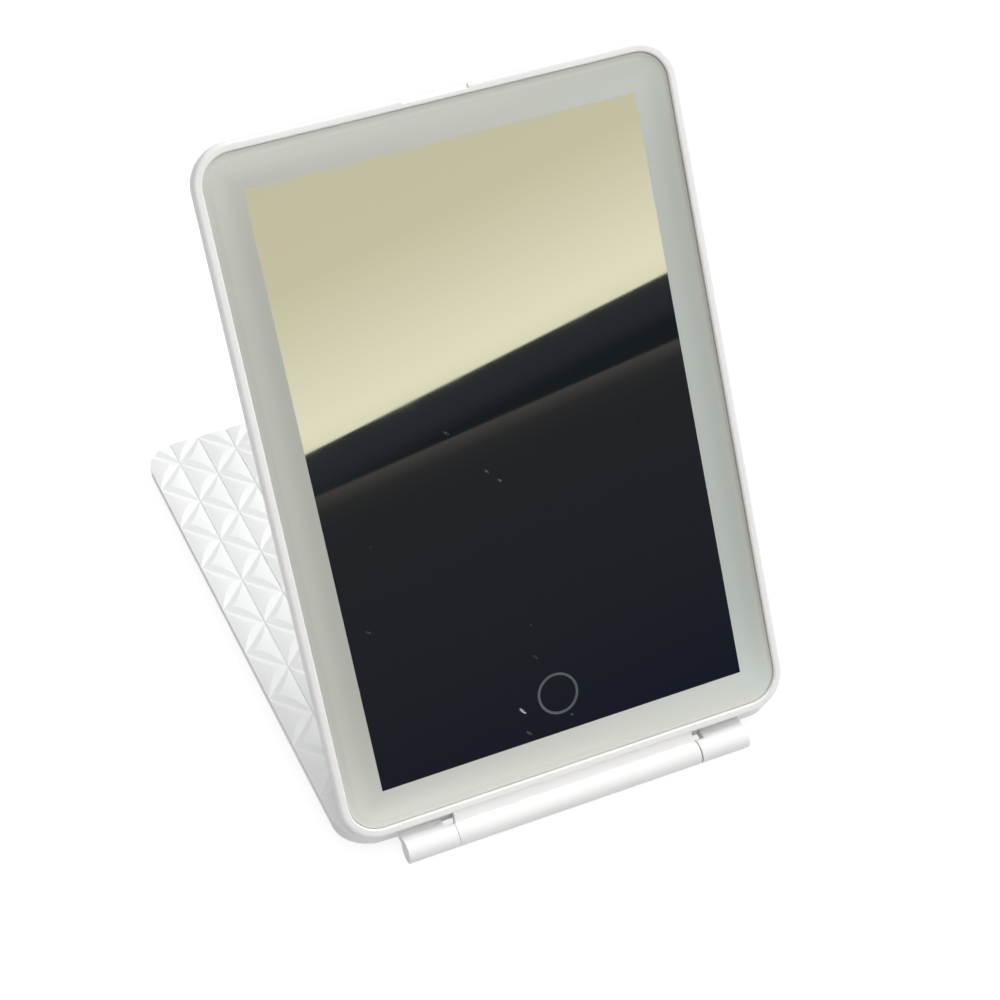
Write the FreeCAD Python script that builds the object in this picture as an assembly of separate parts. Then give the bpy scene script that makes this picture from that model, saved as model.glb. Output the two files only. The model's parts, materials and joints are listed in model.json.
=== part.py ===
import FreeCAD, Part
import math
import os
from FreeCAD import Placement, Rotation, Vector

# Folding lighted makeup mirror. The embossed cover lies on the table as the base, and the mirror panel leans
# back over it on a barrel hinge.
#
# Each leaf is drawn lying flat about the hinge axis, in millimetres: X runs along the axis, Y along the leaf
# away from the axis, and Z out of the mirror's face (panel) or out of the embossed face (cover). The last
# section stands the leaves up.

# Both leaves
WIDTH = 145.0
LENGTH = 208.0
CORNER_R = 12.0
OPEN_ANGLE = 66.0  # between the leaves as the mirror stands
STOP_GAP = 0.32  # panel's back edge to the cover's crests at that angle
CLOSED_GAP = 0.3  # panel's rim to the cover's lining when shut

# Panel housing
FRAME_DEPTH = 3.2  # side wall of the front frame, down to the seam with the rear shell
RIM = 2.6
RIM_ROUND = 1.0
RIM_BREAK = 0.4  # bevel on the rim's inner edge
LEDGE = 2.2
LEDGE_THICK = 1.0
SHELL_WALL = 1.2
LIP_CLEAR = 0.1  # frame's lip inside the rear shell
SCOOP_WIDTH = 20.0
SCOOP_R = 2.4
SCOOP_OUT = 0.9  # scoop's axis, beyond the edge and in front of the rim

# Mirror pane
GLASS_RECESS = 0.8
GLASS_THICK = 2.0
GLASS_CLEAR = 0.2
GLASS_BEVEL = 2.2
GLASS_BEVEL_DEPTH = 0.35
BORDER = 11.1  # frosted border, from the rim to the silver
SILVER_THICK = 0.1
RING_R = 6.5
RING_STROKE = 1.0
RING_HEIGHT = 12.1  # ring's centre above the silver's lower edge
RING_CLEAR = 0.02
TAPE_THICK = 0.2
TAPE_INSET = 0.4

# Light
DIFFUSER_THICK = 1.0
DIFFUSER_CLEAR = 0.2
LED_LENGTH = 3.5
LED_WIDTH = 2.8
LED_HEIGHT = 0.6
LED_PITCH = 12.0
LED_GAP = 0.2  # emitters to the diffuser
STRIP_WIDTH = 4.6
STRIP_THICK = 0.4
STRIP_CLEAR = 0.2
TRAY_WIDTH = 5.0
TRAY_THICK = 0.6
TRAY_OVERLAP = 0.8  # tray's inner edge, inside the silver's edge
RIB_WIDTH = 1.2
RIB_GAP = 1.0  # from the board's far edge

# Electronics
BOARD_THICK = 0.8
BOARD_LENGTH = 22.0  # along the leaf
BOARD_LEFT = 25.0  # left end, from the middle
BOARD_GAP = 2.8  # from the light tray
BOARD_CLEAR = 0.1  # under the light tray
BOSS_HEIGHT = 1.3
BOSS_R = 2.2
SCREW_R = 0.75
SCREW_CLEAR = 0.05
SCREW_HEAD_R = 1.6
SCREW_HEAD = 0.8
SCREW_INSET = 3.0
USB_WIDTH = 8.94
USB_HEIGHT = 3.16
USB_LENGTH = 7.35
USB_WALL = 0.3
USB_CAVITY = 6.2
USB_TONGUE_WIDTH = 6.69
USB_TONGUE_THICK = 0.7
USB_SETBACK = 2.0  # mouth, behind the panel's side
USB_CLEAR = 0.15
USB_RAISE = 0.2  # socket's middle above the board's middle
LIGHT_PIPE_R = 0.9
LIGHT_PIPE_CLEAR = 0.1
LIGHT_PIPE_STEP = 9.0  # from the socket, along the edge
LIGHT_PIPE_SETBACK = 0.9
PAD_R = 6.0
BATTERY_WIDTH = 55.0
BATTERY_LENGTH = 80.0
BATTERY_THICK = 4.0
BATTERY_ROUND = 1.2
BATTERY_PAD_THICK = 0.2
BATTERY_PAD_INSET = 5.0
BATTERY_ROOM = 0.6  # between the cell and the silver, at the least
LEAD_LENGTH = 34.0
LEAD_WIDTH = 2.4
LEAD_THICK = 1.2
PLUG_X = -12.0
PLUG_WIDTH = 6.0
PLUG_LENGTH = 5.0
PLUG_HEIGHT = 2.2
RIBBON_X = 12.0
RIBBON_WIDTH = 8.0
RIBBON_THICK = 0.15
RIBBON_LAP = 3.0  # on the board
CHIPS = ((15.0, 4.0, 1.0), (26.0, 5.0, 2.0), (40.0, 7.0, 1.0))  # behind the socket, side, height

# Hinge
BARREL_R = 3.6
BARREL_HALF = 56.2
KNUCKLE_INNER = 40.2  # end knuckles' inner faces, from the middle
SPLIT_LEFT = 0.14  # left knuckle to the middle barrel, which stands to that side
SPLIT_RIGHT = 0.46
TONGUE_HALF = 39.4
TONGUE_DROP = 0.6  # below the rim's front
ARM_INNER = 43.0
ARM_TOP = 3.2
PIN_R = 1.25
PIN_SEAT = 0.02  # radial, in the knuckle
PIN_RUN = 0.05  # radial, in the sleeve
PIN_END_GAP = 0.3  # to the bottom of the barrel's bore
SLEEVE_WALL = 0.9
SLEEVE_LENGTH = 14.0
SLEEVE_SEAT = 0.02
CAP_R = 2.4
CAP_THICK = 1.5
CAP_CLEAR = 0.05

# Cover
COVER_THICK = 3.7  # lining to the crests of the relief
COVER_BEVEL = 0.4
CELLS_ACROSS = 7
CELLS_ALONG = 9
RIB_RISE = 0.7  # crests of the ribs above the valleys between them
PETAL_HALF = 2.5  # half width of a petal at the crest of a rib
PETAL_SINK = 0.12  # petals' deepest line below the valleys
PLAIN_STRIP = 11.0  # beside the hinge
LINER_THICK = 0.6
LINER_INSET = 2.5
LINER_CLEAR = 0.2
LINER_TAPE_INSET = 4.0
MAGNET_LENGTH = 12.0
MAGNET_WIDTH = 4.0
MAGNET_THICK = 1.2
MAGNET_CLEAR = 0.1
MAGNET_SPREAD = 45.0
MAGNET_INSET = 5.1  # magnet's middle, from the far edge
FOOT_R = 4.0
FOOT_DROP = 0.4  # far foot's outer edge, below the axis level of the lining
FOOT_SIDE = 14.5
FOOT_END = 10.0

# Heights in the panel, from the rim's front downwards
SEAM = -FRAME_DEPTH
GLASS_FRONT = -GLASS_RECESS
GLASS_BACK = GLASS_FRONT - GLASS_THICK
SILVER_LOW = GLASS_BACK - SILVER_THICK
LEDGE_TOP = GLASS_BACK - TAPE_THICK
LEDGE_LOW = LEDGE_TOP - LEDGE_THICK
DIFFUSER_LOW = GLASS_BACK - DIFFUSER_THICK
LED_TOP = DIFFUSER_LOW - LED_GAP
STRIP_TOP = LED_TOP - LED_HEIGHT
TRAY_TOP = STRIP_TOP - STRIP_THICK
TRAY_LOW = TRAY_TOP - TRAY_THICK
BOARD_TOP = TRAY_LOW - BOARD_CLEAR
BOARD_LOW = BOARD_TOP - BOARD_THICK
FLOOR = min(BOARD_LOW - BOSS_HEIGHT, SILVER_LOW - BATTERY_ROOM - BATTERY_THICK - BATTERY_PAD_THICK)
PANEL_BACK = FLOOR - SHELL_WALL
BACK_ROUND = SEAM - PANEL_BACK

# Heights in the cover, from the hinge axis upwards
COVER_LOW = CLOSED_GAP
COVER_TOP = COVER_LOW + COVER_THICK
VALLEY = COVER_TOP - RIB_RISE
LINER_TOP = COVER_LOW + LINER_THICK
LINER_ROOF = LINER_TOP + TAPE_THICK

# Places along the leaves. The reach from the axis lets the panel's rounded back edge come to its stop over
# the cover's crests.
OPEN = math.radians(OPEN_ANGLE)
STOP_RISE = BACK_ROUND + STOP_GAP + COVER_TOP + FRAME_DEPTH * math.cos(OPEN)
HINGE_REACH = STOP_RISE / math.sin(OPEN) - BACK_ROUND
FAR = HINGE_REACH + LENGTH
MIDDLE = HINGE_REACH + LENGTH / 2
SILVER_WIDTH = WIDTH - 2 * (RIM + BORDER)
SILVER_LENGTH = LENGTH - 2 * (RIM + BORDER)
SILVER_NEAR = MIDDLE - SILVER_LENGTH / 2
RING_Y = SILVER_NEAR + RING_HEIGHT
TRAY_X = SILVER_WIDTH / 2 - TRAY_OVERLAP + TRAY_WIDTH / 2  # middle of the tray's legs
TRAY_HALF_Y = SILVER_LENGTH / 2 - TRAY_OVERLAP + TRAY_WIDTH / 2
BOARD_NEAR = MIDDLE - TRAY_HALF_Y + TRAY_WIDTH / 2 + BOARD_GAP
BOARD_FAR = BOARD_NEAR + BOARD_LENGTH
USB_Y = (BOARD_NEAR + BOARD_FAR) / 2
USB_Z = (BOARD_TOP + BOARD_LOW) / 2 + USB_RAISE
USB_MOUTH = WIDTH / 2 - USB_SETBACK
USB_INNER = USB_MOUTH - USB_LENGTH
BATTERY_NEAR = BOARD_FAR + LEAD_LENGTH
MAGNET_Y = FAR - MAGNET_INSET
BARREL_END = {-1: SPLIT_LEFT - KNUCKLE_INNER, 1: KNUCKLE_INNER - SPLIT_RIGHT}  # middle barrel's ends
SLEEVE_R = PIN_R + PIN_RUN + SLEEVE_WALL
PIN_OUTER = BARREL_HALF - CAP_THICK
CUT = 2.0  # how far a cutting solid runs past the face that it opens

X_AXIS = Vector(1, 0, 0)
SIDES = (-1, 1)


def outline(width, length, radius, height):
    """Closed wire of a rounded rectangle about the leaf's middle."""
    x = width / 2 - radius
    y = length / 2 - radius
    centres = ((x, -y), (x, y), (-x, y), (-x, -y))
    arcs = []
    for quarter, (across, along) in enumerate(centres):
        circle = Part.Circle(Vector(across, MIDDLE + along, height), Vector(0, 0, 1), radius)
        start = math.radians(90 * (quarter - 1))
        arcs.append(Part.ArcOfCircle(circle, start, start + math.pi / 2).toShape())
    edges = []
    for arc, following in zip(arcs, arcs[1:] + arcs[:1]):
        line = Part.LineSegment(arc.lastVertex().Point, following.firstVertex().Point)
        edges += [arc, line.toShape()]
    return Part.Wire(edges)


def plate(width, length, radius, low, high):
    """Plate with rounded corners about the leaf's middle, between two heights."""
    return Part.Face(outline(width, length, radius, low)).extrude(Vector(0, 0, high - low))


def inset_plate(inset, low, high):
    """Plate that follows the leaf's outline at a distance inside it."""
    return plate(WIDTH - 2 * inset, LENGTH - 2 * inset, CORNER_R - inset, low, high)


def taper(inset_low, low, inset_high, high):
    """Solid between two outlines inset differently at two heights, with straight slopes."""
    wires = []
    for inset, height in ((inset_low, low), (inset_high, high)):
        wires.append(outline(WIDTH - 2 * inset, LENGTH - 2 * inset, CORNER_R - inset, height))
    return Part.makeLoft(wires, True, True)


def block(x, y, z):
    """Box from three (low, high) ranges."""
    corner = Vector(x[0], y[0], z[0])
    return Part.makeBox(x[1] - x[0], y[1] - y[0], z[1] - z[0], corner)


def around(middle, size):
    """Range of a size about its middle."""
    return (middle - size / 2, middle + size / 2)


def rod(radius, start, end, y=0.0, z=0.0):
    """Cylinder along the hinge direction between two places on X."""
    low = min(start, end)
    return Part.makeCylinder(radius, abs(end - start), Vector(low, y, z), X_AXIS)


def disc(radius, x, y, low, high):
    """Upright cylinder between two heights."""
    return Part.makeCylinder(radius, high - low, Vector(x, y, low))


def fillet_at(solid, height, radius):
    """Round every edge of a solid that lies at one height."""
    edges = [e for e in solid.Edges if all(abs(v.Z - height) < 1e-6 for v in e.Vertexes)]
    return solid.makeFillet(radius, edges)


def sleeve_inner(side):
    """Inner end of the sleeve's bore in the middle barrel, on X."""
    return BARREL_END[side] - side * SLEEVE_LENGTH


def panel_frame():
    """Front frame: rim, ledge for the pane, lip for the rear shell, hinge tongue and middle barrel."""
    body = fillet_at(inset_plate(0, SEAM, 0), 0, RIM_ROUND)
    body = body.fuse(inset_plate(SHELL_WALL + LIP_CLEAR, LEDGE_LOW, SEAM))
    pocket = inset_plate(RIM, LEDGE_TOP, 0).fuse(taper(RIM, -RIM_BREAK, RIM - RIM_BREAK, 0))
    window = inset_plate(RIM + LEDGE, LEDGE_LOW - CUT, LEDGE_TOP + CUT)
    scoop = rod(SCOOP_R, -SCOOP_WIDTH / 2, SCOOP_WIDTH / 2, FAR + SCOOP_OUT, SCOOP_OUT)
    body = body.cut(pocket).cut(window).cut(scoop)
    tongue = block((-TONGUE_HALF, TONGUE_HALF), (0, HINGE_REACH + RIM / 2), (SEAM, -TONGUE_DROP))
    body = body.fuse(tongue).fuse(rod(BARREL_R, BARREL_END[-1], BARREL_END[1]))
    for side in SIDES:
        body = body.cut(rod(SLEEVE_R + SLEEVE_SEAT, sleeve_inner(side), BARREL_END[side] + side * CUT))
    return body.removeSplitter()


def rear_form():
    """Outside of the rear shell: a quarter round from the seam to the flat back."""
    form = fillet_at(inset_plate(0, PANEL_BACK, SEAM + CUT), PANEL_BACK, BACK_ROUND)
    return form.cut(inset_plate(0, SEAM, SEAM + 2 * CUT))


def screw_places():
    """Where the board is screwed down, on the leaf: at opposite corners, inside the light tray."""
    right = TRAY_X - TRAY_WIDTH / 2 - SCREW_INSET - SCREW_HEAD_R
    return (-BOARD_LEFT + SCREW_INSET, BOARD_NEAR + SCREW_INSET), (right, BOARD_FAR - SCREW_INSET)


def tray_ribs():
    """Ribs of the rear shell under the light tray; those along its sides start past the board."""
    height = (FLOOR - SHELL_WALL / 2, TRAY_LOW)
    along = (BOARD_FAR + RIB_GAP, MIDDLE + TRAY_HALF_Y)
    ribs = []
    for side in SIDES:
        ribs.append(block(around(0, 2 * TRAY_X), around(MIDDLE + side * TRAY_HALF_Y, RIB_WIDTH), height))
        ribs.append(block(around(side * TRAY_X, RIB_WIDTH), along, height))
    return ribs


def usb_form(grow, start, end):
    """Flat-sided round-ended bar in the shape of the charging socket."""
    width = USB_WIDTH + 2 * grow
    height = USB_HEIGHT + 2 * grow
    bar = block((start, end), around(USB_Y, width), around(USB_Z, height))
    long_edges = [e for e in bar.Edges if abs(e.tangentAt(e.FirstParameter).x) > 0.9]
    return bar.makeFillet(height * 0.49, long_edges)


def panel_back():
    """Rear shell with its quarter-round edge, inner ribs and bosses, and openings in its right edge."""
    hollow = taper(BACK_ROUND, FLOOR, SHELL_WALL, LEDGE_LOW).fuse(inset_plate(SHELL_WALL, LEDGE_LOW, SEAM))
    body = rear_form().cut(hollow).multiFuse(tray_ribs())
    for x, y in screw_places():
        body = body.fuse(disc(BOSS_R, x, y, FLOOR - SHELL_WALL / 2, BOARD_LOW))
        body = body.cut(disc(SCREW_R + SCREW_CLEAR, x, y, FLOOR, BOARD_LOW + CUT))
    body = body.cut(usb_form(USB_CLEAR, USB_INNER, WIDTH / 2 + CUT))
    pipe_y = USB_Y + LIGHT_PIPE_STEP
    return body.cut(rod(LIGHT_PIPE_R + LIGHT_PIPE_CLEAR, USB_INNER, WIDTH / 2 + CUT, pipe_y, USB_Z))


def mirror_glass():
    """Pane with a shallow ground bevel round its front."""
    inset = RIM + GLASS_CLEAR
    bevel_low = GLASS_FRONT - GLASS_BEVEL_DEPTH
    bevel = taper(inset, bevel_low, inset + GLASS_BEVEL, GLASS_FRONT)
    return inset_plate(inset, GLASS_BACK, bevel_low).fuse(bevel).removeSplitter()


def ring(outer, inner, low, high):
    """Flat ring about the touch mark."""
    return disc(outer, 0, RING_Y, low, high).cut(disc(inner, 0, RING_Y, low, high))


def silver_block(grow, low, high):
    """Square-cornered plate of the silver's outline, grown all round."""
    x = around(0, SILVER_WIDTH + 2 * grow)
    y = around(MIDDLE, SILVER_LENGTH + 2 * grow)
    return block(x, y, (low, high))


def silver_coating():
    """Silver behind the pane, with a ring left clear; the disc inside the ring is a solid of its own."""
    clear = ring(RING_R, RING_R - RING_STROKE, SILVER_LOW, GLASS_BACK)
    return silver_block(0, SILVER_LOW, GLASS_BACK).cut(clear)


def touch_window():
    """Clear film that fills the ring in the silver."""
    return ring(RING_R - RING_CLEAR, RING_R - RING_STROKE + RING_CLEAR, SILVER_LOW, GLASS_BACK)


def glass_tape():
    """Adhesive ring between the pane and the frame's ledge."""
    outer = inset_plate(RIM + TAPE_INSET, LEDGE_TOP, GLASS_BACK)
    return outer.cut(inset_plate(RIM + LEDGE - TAPE_INSET, LEDGE_TOP, GLASS_BACK))


def light_diffuser():
    """Milky ring on the pane's back, between the ledge and the silver."""
    outer = inset_plate(RIM + LEDGE + DIFFUSER_CLEAR, DIFFUSER_LOW, GLASS_BACK)
    return outer.cut(silver_block(DIFFUSER_CLEAR, DIFFUSER_LOW, GLASS_BACK))


def tray_block(grow, low, high):
    """Square-cornered plate about the light tray's middle line, grown all round."""
    return block((-TRAY_X - grow, TRAY_X + grow), around(MIDDLE, 2 * (TRAY_HALF_Y + grow)), (low, high))


def led_tray():
    """White ring that carries the light strips."""
    outer = tray_block(TRAY_WIDTH / 2, TRAY_LOW, TRAY_TOP)
    return outer.cut(tray_block(-TRAY_WIDTH / 2, TRAY_LOW, TRAY_TOP))


def strip_across(side):
    """Light strip along the top (1) or bottom (-1) border."""
    span = 2 * TRAY_X + STRIP_WIDTH
    return block(around(0, span), around(MIDDLE + side * TRAY_HALF_Y, STRIP_WIDTH), (TRAY_TOP, STRIP_TOP))


def strip_along(side):
    """Light strip along the right (1) or left (-1) border, between the other two."""
    span = 2 * (TRAY_HALF_Y - STRIP_WIDTH / 2 - STRIP_CLEAR)
    return block(around(side * TRAY_X, STRIP_WIDTH), around(MIDDLE, span), (TRAY_TOP, STRIP_TOP))


def led_row(span):
    """Evenly spaced places of the emitters along a strip, about its middle."""
    count = int(span / LED_PITCH)
    return [(index - (count - 1) / 2) * LED_PITCH for index in range(count)]


def leds():
    """Emitters on the four strips, facing the diffuser."""
    height = (STRIP_TOP, LED_TOP)
    solids = []
    for side in SIDES:
        row = around(MIDDLE + side * TRAY_HALF_Y, LED_WIDTH)
        for x in led_row(2 * TRAY_X):
            solids.append(block(around(x, LED_LENGTH), row, height))
        for y in led_row(2 * (TRAY_HALF_Y - STRIP_WIDTH)):
            solids.append(block(around(side * TRAY_X, LED_WIDTH), around(MIDDLE + y, LED_LENGTH), height))
    return Part.makeCompound(solids)


def led_ribbon():
    """Flat link from the board up to the bottom strip."""
    strip_edge = MIDDLE - TRAY_HALF_Y + STRIP_WIDTH / 2
    side_view = [
        (BOARD_NEAR + RIBBON_LAP, BOARD_TOP),
        (BOARD_NEAR, BOARD_TOP),
        (strip_edge, STRIP_TOP),
        (strip_edge - (STRIP_WIDTH - LED_WIDTH) / 3, STRIP_TOP),
    ]
    upper = [(y, z + RIBBON_THICK) for y, z in reversed(side_view)]
    points = [Vector(RIBBON_X - RIBBON_WIDTH / 2, y, z) for y, z in side_view + upper]
    face = Part.Face(Part.makePolygon(points + points[:1]))
    return face.extrude(Vector(RIBBON_WIDTH, 0, 0))


def control_board():
    """Circuit board along the bottom, notched for the charging socket and drilled for its screws."""
    right = USB_INNER + USB_LENGTH / 2
    board = block((-BOARD_LEFT, right), (BOARD_NEAR, BOARD_FAR), (BOARD_LOW, BOARD_TOP))
    notch_y = around(USB_Y, USB_WIDTH + 2 * USB_CLEAR)
    board = board.cut(block((USB_INNER, right), notch_y, (BOARD_LOW, BOARD_TOP)))
    for x, y in screw_places():
        board = board.cut(disc(SCREW_R + SCREW_CLEAR, x, y, BOARD_LOW, BOARD_TOP))
    return board


def board_chips():
    """Charger, coil and controller on the board."""
    solids = []
    for behind, side, height in CHIPS:
        x = around(USB_INNER - behind, side)
        solids.append(block(x, around(USB_Y, side), (BOARD_TOP, BOARD_TOP + height)))
    return Part.makeCompound(solids)


def board_screws():
    """Screws that hold the board on its bosses."""
    solids = []
    for x, y in screw_places():
        shank = disc(SCREW_R, x, y, FLOOR + SCREW_CLEAR, BOARD_TOP)
        head = disc(SCREW_HEAD_R, x, y, BOARD_TOP, BOARD_TOP + SCREW_HEAD)
        solids.append(shank.fuse(head).removeSplitter())
    return Part.makeCompound(solids)


def touch_pad():
    """Conductive foam between the board and the silver."""
    return disc(PAD_R, 0, RING_Y, BOARD_TOP, SILVER_LOW)


def usb_socket():
    """Charging socket: a round-ended metal shell with its contact tongue."""
    body = usb_form(0, USB_INNER, USB_MOUTH).cut(usb_form(-USB_WALL, USB_MOUTH - USB_CAVITY, USB_MOUTH + CUT))
    tongue_x = (USB_MOUTH - USB_CAVITY - CUT / 4, USB_MOUTH - USB_WALL)
    tongue = block(tongue_x, around(USB_Y, USB_TONGUE_WIDTH), around(USB_Z, USB_TONGUE_THICK))
    return body.fuse(tongue)


def charge_light():
    """Light pipe beside the charging socket."""
    start = USB_INNER + USB_LENGTH / 2
    return rod(LIGHT_PIPE_R, start, WIDTH / 2 - LIGHT_PIPE_SETBACK, USB_Y + LIGHT_PIPE_STEP, USB_Z)


def battery_cell():
    """Flat rechargeable cell with rounded sides."""
    low = FLOOR + BATTERY_PAD_THICK
    along = (BATTERY_NEAR, BATTERY_NEAR + BATTERY_LENGTH)
    cell = block(around(0, BATTERY_WIDTH), along, (low, low + BATTERY_THICK))
    long_edges = [e for e in cell.Edges if abs(e.tangentAt(e.FirstParameter).y) > 0.9]
    return cell.makeFillet(BATTERY_ROUND, long_edges)


def battery_pad():
    """Adhesive between the cell and the rear shell."""
    x = around(0, BATTERY_WIDTH - 2 * BATTERY_PAD_INSET)
    y = around(BATTERY_NEAR + BATTERY_LENGTH / 2, BATTERY_LENGTH - 2 * BATTERY_PAD_INSET)
    return block(x, y, (FLOOR, FLOOR + BATTERY_PAD_THICK))


def battery_plug():
    """Plug of the cell's leads on the board."""
    height = (BOARD_TOP, BOARD_TOP + PLUG_HEIGHT)
    return block(around(PLUG_X, PLUG_WIDTH), (BOARD_FAR - PLUG_LENGTH, BOARD_FAR), height)


def battery_leads():
    """Flat twin lead from the plug to the cell."""
    middle = BOARD_TOP + PLUG_HEIGHT / 2
    return block(around(PLUG_X, LEAD_WIDTH), (BOARD_FAR, BATTERY_NEAR), around(middle, LEAD_THICK))


def magnets(low):
    """Pair of bar magnets near the far edge of a leaf."""
    bars = []
    for side in SIDES:
        x = around(side * MAGNET_SPREAD, MAGNET_LENGTH)
        bars.append(block(x, around(MAGNET_Y, MAGNET_WIDTH), (low, low + MAGNET_THICK)))
    return Part.makeCompound(bars)


def friction_sleeve(side):
    """Sleeve in the middle barrel that grips the hinge pin."""
    start = sleeve_inner(side)
    end = BARREL_END[side]
    return rod(SLEEVE_R, start, end).cut(rod(PIN_R + PIN_RUN, start, end))


def hinge_pin(side):
    """Steel pin, fixed in the end knuckle and turning in the sleeve."""
    return rod(PIN_R, sleeve_inner(side) + side * PIN_END_GAP, side * PIN_OUTER)


def knuckle_cap(side):
    """Plug that closes the barrel's end."""
    return rod(CAP_R - CAP_CLEAR, side * PIN_OUTER, side * BARREL_HALF)


def ribs():
    """Slab with rounded ribs along the leaf, which meet in sharp valleys."""
    pitch = WIDTH / (2 * CELLS_ACROSS)
    near = HINGE_REACH + PLAIN_STRIP
    edges = []
    for index in range(2 * CELLS_ACROSS):
        x = -WIDTH / 2 + index * pitch
        start = Vector(x, near, VALLEY)
        crest = Vector(x + pitch / 2, near, COVER_TOP)
        end = Vector(x + pitch, near, VALLEY)
        edges.append(Part.Arc(start, crest, end).toShape())
    right = Vector(WIDTH / 2, near, VALLEY)
    left = Vector(-WIDTH / 2, near, VALLEY)
    base_right = Vector(WIDTH / 2, near, COVER_LOW)
    base_left = Vector(-WIDTH / 2, near, COVER_LOW)
    for start, end in ((right, base_right), (base_right, base_left), (base_left, left)):
        edges.append(Part.LineSegment(start, end).toShape())
    return Part.Face(Part.Wire(edges)).extrude(Vector(0, FAR - near, 0))


def petal_grooves():
    """Straight V-cutters that cross the ribs both ways; what they take out of each rib is a lens-shaped petal."""
    step = LENGTH / CELLS_ALONG
    height = 2 * RIB_RISE
    half = height * PETAL_HALF / (RIB_RISE + PETAL_SINK)
    cutters = []
    for side in SIDES:
        along = Vector(side * WIDTH, CELLS_ACROSS * step, 0)
        square = Vector(0, 0, 1).cross(along).normalize()
        for index in range(CELLS_ACROSS + CELLS_ALONG):
            deepest = Vector(-side * WIDTH / 2, FAR - (index + 1) * step, VALLEY - PETAL_SINK)
            top = deepest + Vector(0, 0, height)
            section = [deepest, top + square * half, top - square * half, deepest]
            cutters.append(Part.Face(Part.makePolygon(section)).extrude(along))
    return cutters


def cover_relief():
    """Cover plate with its relief of petals sunk in ribs, and a plain strip beside the hinge."""
    strip_end = HINGE_REACH + PLAIN_STRIP
    form = inset_plate(0, COVER_LOW, COVER_TOP - COVER_BEVEL).fuse(
        taper(0, COVER_TOP - COVER_BEVEL, COVER_BEVEL + CUT, COVER_TOP + CUT)
    )
    plain = form.common(block((-WIDTH, WIDTH), (HINGE_REACH - CUT, strip_end), (COVER_LOW, COVER_TOP)))
    return ribs().cut(petal_grooves()).common(form).fuse(plain)


def cover_shell():
    """Embossed cover with its arms, end knuckles, the recess for the lining and the magnets' pockets."""
    body = cover_relief()
    for side in SIDES:
        arm_x = sorted((side * ARM_INNER, side * BARREL_HALF))
        body = body.fuse(block(arm_x, (0, HINGE_REACH + LINER_INSET), (COVER_LOW, ARM_TOP)))
        body = body.fuse(rod(BARREL_R, side * KNUCKLE_INNER, side * BARREL_HALF))
    recess = inset_plate(LINER_INSET, COVER_LOW - CUT, LINER_ROOF)
    body = body.cut(recess)
    for side in SIDES:
        body = body.cut(rod(PIN_R + PIN_SEAT, side * (KNUCKLE_INNER - CUT), side * PIN_OUTER))
        body = body.cut(rod(CAP_R, side * PIN_OUTER, side * (BARREL_HALF + CUT)))
        x = around(side * MAGNET_SPREAD, MAGNET_LENGTH + 2 * MAGNET_CLEAR)
        y = around(MAGNET_Y, MAGNET_WIDTH + 2 * MAGNET_CLEAR)
        body = body.cut(block(x, y, (COVER_LOW, LINER_ROOF + MAGNET_THICK)))
    return body


def cover_liner():
    """Smooth lining sheet, flush with the cover's inner face."""
    return inset_plate(LINER_INSET + LINER_CLEAR, COVER_LOW, LINER_TOP)


def liner_tape():
    """Adhesive between the lining and the cover."""
    return inset_plate(LINER_INSET + LINER_TAPE_INSET, LINER_TOP, LINER_ROOF)


def foot_pads(tilt):
    """Soft pads on the lining; the far pair is cut level with the table."""
    far_y = FAR - FOOT_END
    pads = []
    for side in SIDES:
        x = side * (WIDTH / 2 - FOOT_SIDE)
        pads.append(disc(FOOT_R, x, HINGE_REACH + FOOT_END + FOOT_R, COVER_LOW - FOOT_DROP, COVER_LOW))
        far_pad = disc(FOOT_R, x, far_y, -BARREL_R, COVER_LOW)
        below = block((-WIDTH, WIDTH), (-LENGTH, 2 * LENGTH), (-BARREL_R - LENGTH, -BARREL_R))
        below.rotate(Vector(0, 0, 0), X_AXIS, tilt)
        pads.append(far_pad.cut(below))
    return Part.makeCompound(pads)


def table_tilt():
    """Angle between the cover and the table, as it stands on the barrel and the far pads, in degrees."""
    reach = FAR - FOOT_END + FOOT_R
    return math.degrees(math.asin(BARREL_R / math.hypot(reach, FOOT_DROP)) - math.atan2(FOOT_DROP, reach))


def panel_nodes():
    """Every piece of the mirror panel, by name."""
    return {
        "panel_frame": panel_frame(),
        "panel_back": panel_back(),
        "mirror_glass": mirror_glass(),
        "silver_coating": silver_coating(),
        "touch_window": touch_window(),
        "glass_tape": glass_tape(),
        "light_diffuser": light_diffuser(),
        "led_tray": led_tray(),
        "led_strip_top": strip_across(1),
        "led_strip_bottom": strip_across(-1),
        "led_strip_right": strip_along(1),
        "led_strip_left": strip_along(-1),
        "leds": leds(),
        "led_ribbon": led_ribbon(),
        "control_board": control_board(),
        "board_chips": board_chips(),
        "board_screws": board_screws(),
        "touch_pad": touch_pad(),
        "usb_socket": usb_socket(),
        "charge_light": charge_light(),
        "battery": battery_cell(),
        "battery_pad": battery_pad(),
        "battery_plug": battery_plug(),
        "battery_leads": battery_leads(),
        "panel_magnets": magnets(LEDGE_LOW - MAGNET_THICK),
        "friction_sleeve_left": friction_sleeve(-1),
        "friction_sleeve_right": friction_sleeve(1),
    }


def cover_nodes(tilt):
    """Every piece of the cover, by name."""
    return {
        "cover_shell": cover_shell(),
        "cover_liner": cover_liner(),
        "liner_tape": liner_tape(),
        "cover_magnets": magnets(LINER_ROOF),
        "foot_pads": foot_pads(tilt),
        "hinge_pin_left": hinge_pin(-1),
        "hinge_pin_right": hinge_pin(1),
        "knuckle_cap_left": knuckle_cap(-1),
        "knuckle_cap_right": knuckle_cap(1),
    }


def write(nodes, angle, axis_place):
    """Turn a leaf's pieces about the hinge axis, set them on the table and write them."""
    stand = Placement(axis_place, Rotation(X_AXIS, angle))
    for name, shape in nodes.items():
        shape.Placement = stand.multiply(shape.Placement)
        shape.exportStep(f"parts/{name}.step")


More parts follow.
